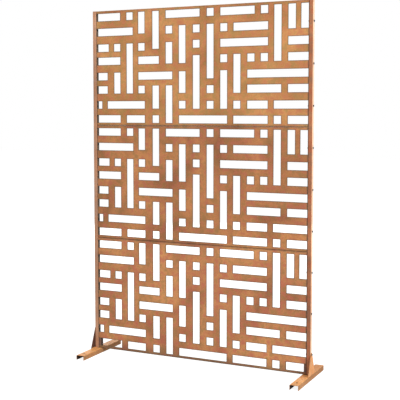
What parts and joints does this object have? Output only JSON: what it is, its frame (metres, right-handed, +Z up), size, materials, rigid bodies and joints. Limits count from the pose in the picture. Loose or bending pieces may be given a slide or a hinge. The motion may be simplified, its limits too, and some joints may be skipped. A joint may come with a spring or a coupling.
{
  "type": "garden privacy screen",
  "caption": "Free-standing garden privacy screen: stacked cut-out sheet panels bolted between slim square posts on channel feet, with a rust-brown finish.",
  "frame": {"origin": "centre of the screen's footprint on the floor, midway between the posts and on their centre plane", "axes": "+X to the right seen from the front, +Y from front to back, +Z up"},
  "size_m": [1.2338, 0.38, 1.8253],
  "materials": {
    "panel_finish": "mottled rust-brown, matt",
    "post_finish": "mottled rust-brown, matt, a little greyer than the panels",
    "foot_finish": "mottled rust-brown, matt, lighter and more orange",
    "black_fastener": "black, satin"
  },
  "bodies": {
    "root": {"panel_bottom": "panel_finish", "panel_middle": "panel_finish", "panel_top": "panel_finish", "post_left": "post_finish", "foot_left": "foot_finish", "gusset_left": "foot_finish", "spigot_left": "foot_finish", "bolt_left_1": "black_fastener", "nut_left_1": "black_fastener", "bolt_left_2": "black_fastener", "nut_left_2": "black_fastener", "bolt_left_3": "black_fastener", "nut_left_3": "black_fastener", "bolt_left_4": "black_fastener", "nut_left_4": "black_fastener", "bolt_left_5": "black_fastener", "nut_left_5": "black_fastener", "bolt_left_6": "black_fastener", "nut_left_6": "black_fastener", "bolt_left_7": "black_fastener", "nut_left_7": "black_fastener", "bolt_left_8": "black_fastener", "nut_left_8": "black_fastener", "bolt_left_9": "black_fastener", "nut_left_9": "black_fastener", "post_right": "post_finish", "foot_right": "foot_finish", "gusset_right": "foot_finish", "spigot_right": "foot_finish", "bolt_right_1": "black_fastener", "nut_right_1": "black_fastener", "bolt_right_2": "black_fastener", "nut_right_2": "black_fastener", "bolt_right_3": "black_fastener", "nut_right_3": "black_fastener", "bolt_right_4": "black_fastener", "nut_right_4": "black_fastener", "bolt_right_5": "black_fastener", "nut_right_5": "black_fastener", "bolt_right_6": "black_fastener", "nut_right_6": "black_fastener", "bolt_right_7": "black_fastener", "nut_right_7": "black_fastener", "bolt_right_8": "black_fastener", "nut_right_8": "black_fastener", "bolt_right_9": "black_fastener", "nut_right_9": "black_fastener"}
  },
  "joints": []
}
